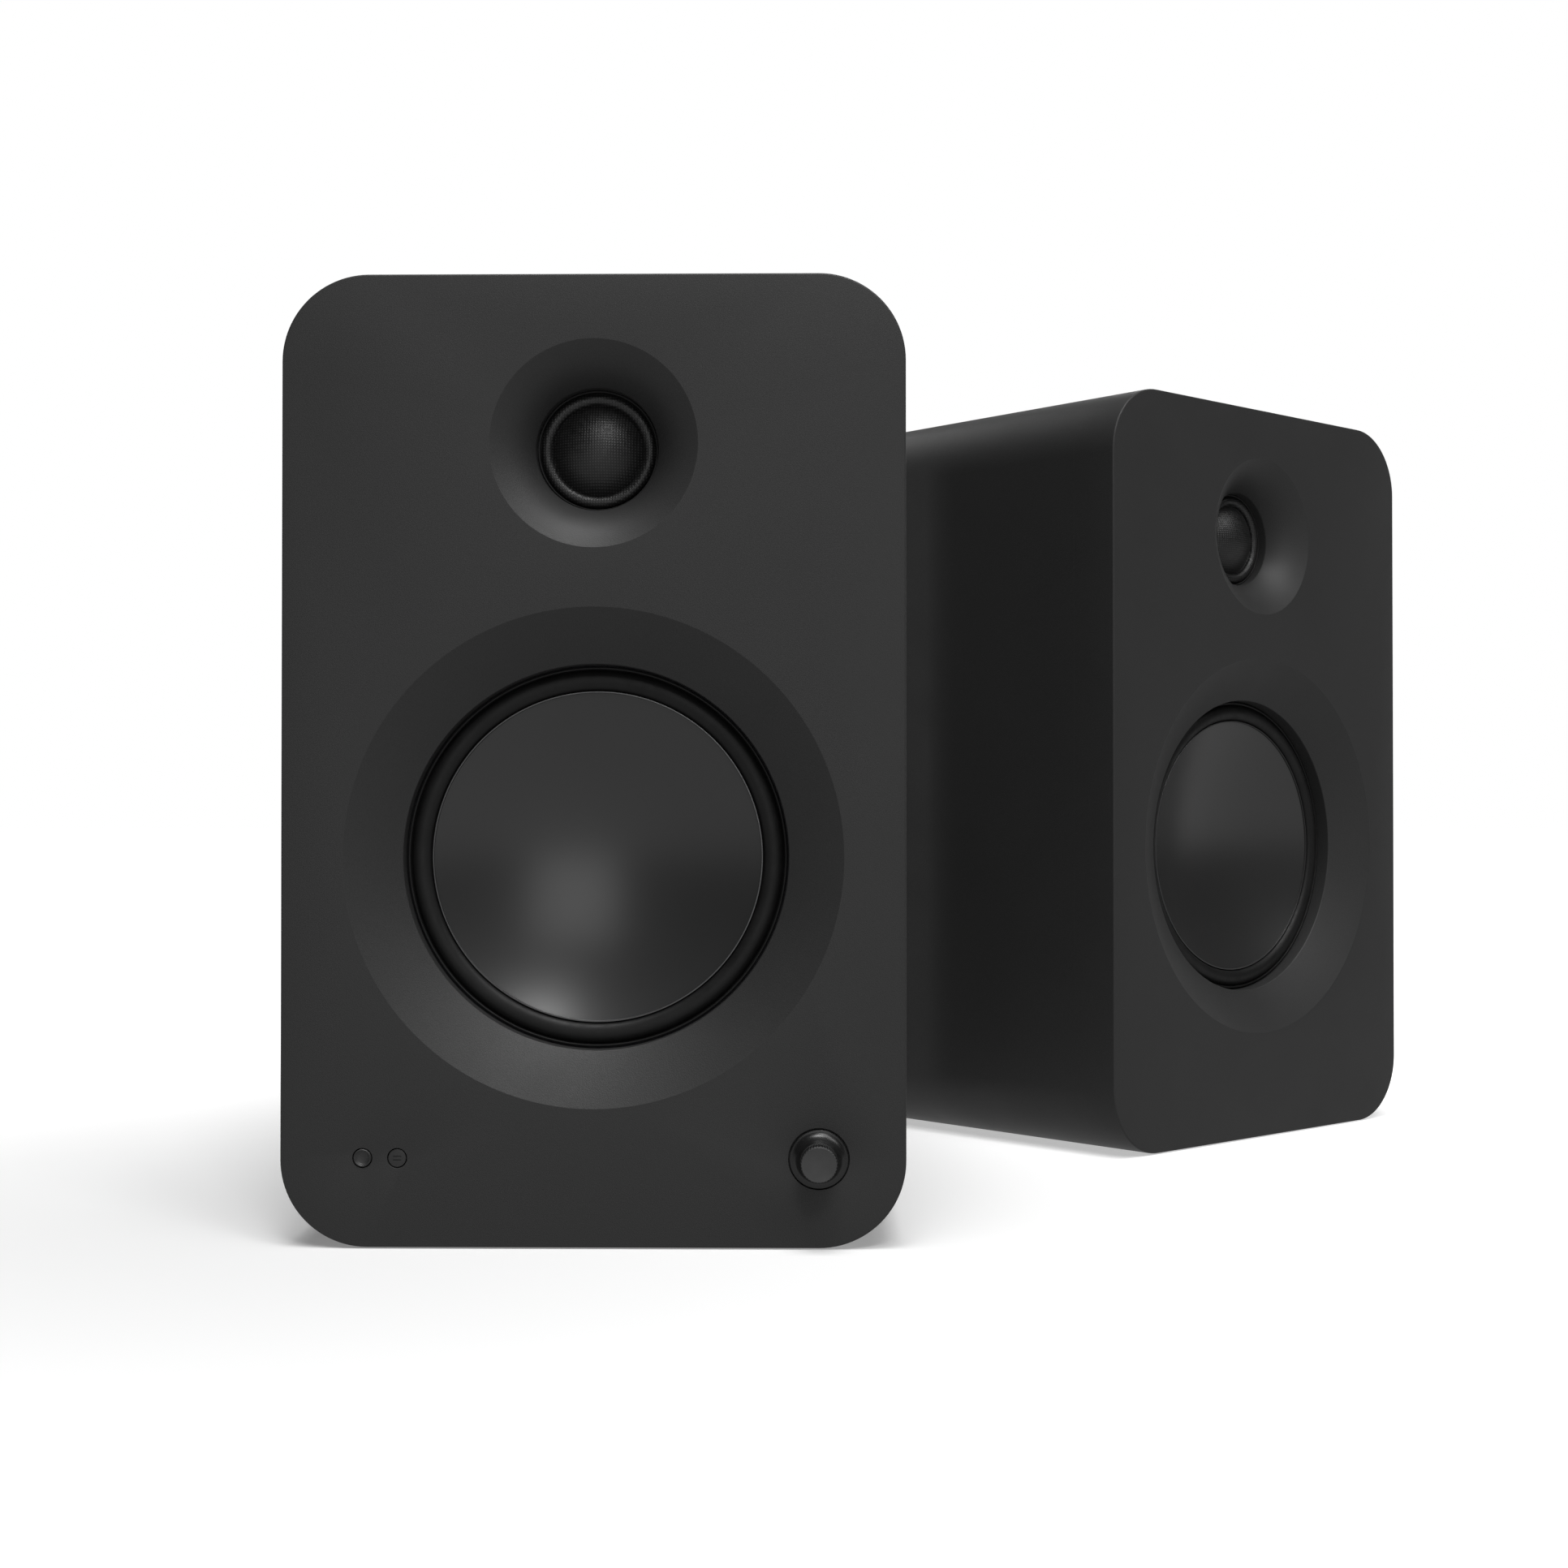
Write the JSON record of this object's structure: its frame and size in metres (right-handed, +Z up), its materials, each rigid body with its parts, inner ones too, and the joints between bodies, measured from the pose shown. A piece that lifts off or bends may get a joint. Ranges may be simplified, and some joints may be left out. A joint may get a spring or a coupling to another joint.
{
  "type": "desktop speakers",
  "caption": "Matte black powered desktop speakers with a woofer, a soft dome tweeter and a rear port; the main speaker has a volume knob and sockets.",
  "frame": {"origin": "middle of the pair's bounding box, on the surface that the feet stand on", "axes": "+Z up; -Y is the way the main speaker faces; +X is to the main speaker's right as seen from the front"},
  "size_m": [0.3842, 0.453, 0.2744],
  "materials": {
    "cabinet_black": "fibreboard in matte black paint with a very fine texture",
    "plastic_black": "moulded, matte black",
    "rubber_black": "soft, matte black",
    "coated_metal": "black powder coat",
    "ferrite": "ground ferrite, dark grey",
    "steel": "plated",
    "cone_satin": "satin black anodised",
    "spider_cloth": "resin-treated cotton",
    "coil": "copper wire on a former",
    "dome_silk": "doped silk, fine weave",
    "terminal_red": "clear red moulding",
    "lens_gloss": "dark glossy lens",
    "circuit_board": "green solder mask"
  },
  "bodies": {
    "main": {"main_front_baffle": "cabinet_black", "main_cabinet_sleeve": "cabinet_black", "main_rear_panel": "cabinet_black", "main_port_tube": "plastic_black", "main_foot_front_left": "rubber_black", "main_foot_front_right": "rubber_black", "main_foot_rear_left": "rubber_black", "main_foot_rear_right": "rubber_black", "main_woofer_basket": "coated_metal", "main_woofer_magnet": "ferrite", "main_woofer_pole_yoke": "steel", "main_woofer_surround": "rubber_black", "main_woofer_spider": "spider_cloth", "main_tweeter_mount": "plastic_black", "main_tweeter_magnet": "steel", "encoder_housing": "plastic_black", "status_lens": "lens_gloss", "control_board": "circuit_board", "amp_plate": "coated_metal", "amp_board": "circuit_board", "power_supply": "circuit_board", "ac_inlet": "plastic_black", "rca_socket_block": "plastic_black", "aux_jack": "plastic_black", "hdmi_socket": "steel", "usb_c_socket": "steel", "optical_socket": "plastic_black", "main_terminal_block": "plastic_black"},
    "main_woofer": {"main_woofer_cone": "cone_satin", "main_woofer_voice_coil": "coil"},
    "main_tweeter": {"main_tweeter_dome": "dome_silk"},
    "volume_rotor": {"encoder_rotor": "plastic_black"},
    "volume_knob": {"volume_knob": "plastic_black", "encoder_shaft": "steel"},
    "source_button": {"source_button": "plastic_black"},
    "power_rocker": {"power_rocker": "plastic_black"},
    "main_cap_red": {"main_terminal_cap_red": "terminal_red"},
    "main_cap_black": {"main_terminal_cap_black": "plastic_black"},
    "satellite": {"satellite_front_baffle": "cabinet_black", "satellite_cabinet_sleeve": "cabinet_black", "satellite_rear_panel": "cabinet_black", "satellite_port_tube": "plastic_black", "satellite_foot_front_left": "rubber_black", "satellite_foot_front_right": "rubber_black", "satellite_foot_rear_left": "rubber_black", "satellite_foot_rear_right": "rubber_black", "satellite_woofer_basket": "coated_metal", "satellite_woofer_magnet": "ferrite", "satellite_woofer_pole_yoke": "steel", "satellite_woofer_surround": "rubber_black", "satellite_woofer_spider": "spider_cloth", "satellite_tweeter_mount": "plastic_black", "satellite_tweeter_magnet": "steel", "satellite_terminal_block": "plastic_black", "crossover_board": "circuit_board"},
    "satellite_woofer": {"satellite_woofer_cone": "cone_satin", "satellite_woofer_voice_coil": "coil"},
    "satellite_tweeter": {"satellite_tweeter_dome": "dome_silk"},
    "satellite_cap_red": {"satellite_terminal_cap_red": "terminal_red"},
    "satellite_cap_black": {"satellite_terminal_cap_black": "plastic_black"}
  },
  "joints": [
    {"name": "satellite_place", "type": "slide", "parent": "main", "child": "satellite", "axis": [1, 0, 0], "range_m": [0, 0.8]},
    {"name": "main_woofer_travel", "type": "slide", "parent": "main", "child": "main_woofer", "axis": [0, -1, 0], "range_m": [-0.004, 0.004], "stiffness_N_per_m": 1000, "deforming": ["main_woofer_surround", "main_woofer_spider"]},
    {"name": "main_tweeter_travel", "type": "slide", "parent": "main", "child": "main_tweeter", "axis": [0, -1, 0], "range_m": [-0.0003, 0.0003], "stiffness_N_per_m": 2000},
    {"name": "volume_turn", "type": "hinge", "parent": "main", "child": "volume_rotor", "pos_m": [-0.04058, -0.21601, 0.0254], "axis": [0, 1, 0], "continuous": true},
    {"name": "volume_press", "type": "slide", "parent": "volume_rotor", "child": "volume_knob", "axis": [0, 1, 0], "range_m": [0, 0.0006], "stiffness_N_per_m": 1000},
    {"name": "source_press", "type": "slide", "parent": "main", "child": "source_button", "axis": [0, 1, 0], "range_m": [0, 0.0008], "stiffness_N_per_m": 1000},
    {"name": "power_switch", "type": "hinge", "parent": "main", "child": "power_rocker", "pos_m": [-0.06008, 0.00359, 0.052], "axis": [-1, 0, 0], "range_deg": [0, 16]},
    {"name": "main_cap_red_turn", "type": "hinge", "parent": "main", "child": "main_cap_red", "pos_m": [-0.14358, 0.01779, 0.054], "axis": [0, 1, 0], "range_deg": [0, 900]},
    {"name": "main_cap_black_turn", "type": "hinge", "parent": "main", "child": "main_cap_black", "pos_m": [-0.12458, 0.01779, 0.054], "axis": [0, 1, 0], "range_deg": [0, 900]},
    {"name": "satellite_woofer_travel", "type": "slide", "parent": "satellite", "child": "satellite_woofer", "axis": [0.6807, -0.7325, 0], "range_m": [-0.004, 0.004], "stiffness_N_per_m": 1000, "deforming": ["satellite_woofer_surround", "satellite_woofer_spider"]},
    {"name": "satellite_tweeter_travel", "type": "slide", "parent": "satellite", "child": "satellite_tweeter", "axis": [0.6807, -0.7325, 0], "range_m": [-0.0003, 0.0003], "stiffness_N_per_m": 2000},
    {"name": "satellite_cap_red_turn", "type": "hinge", "parent": "satellite", "child": "satellite_cap_red", "pos_m": [-0.03849, 0.16659, 0.07], "axis": [-0.6807, 0.7325, 0], "range_deg": [0, 900]},
    {"name": "satellite_cap_black_turn", "type": "hinge", "parent": "satellite", "child": "satellite_cap_black", "pos_m": [-0.02458, 0.17952, 0.07], "axis": [-0.6807, 0.7325, 0], "range_deg": [0, 900]}
  ]
}
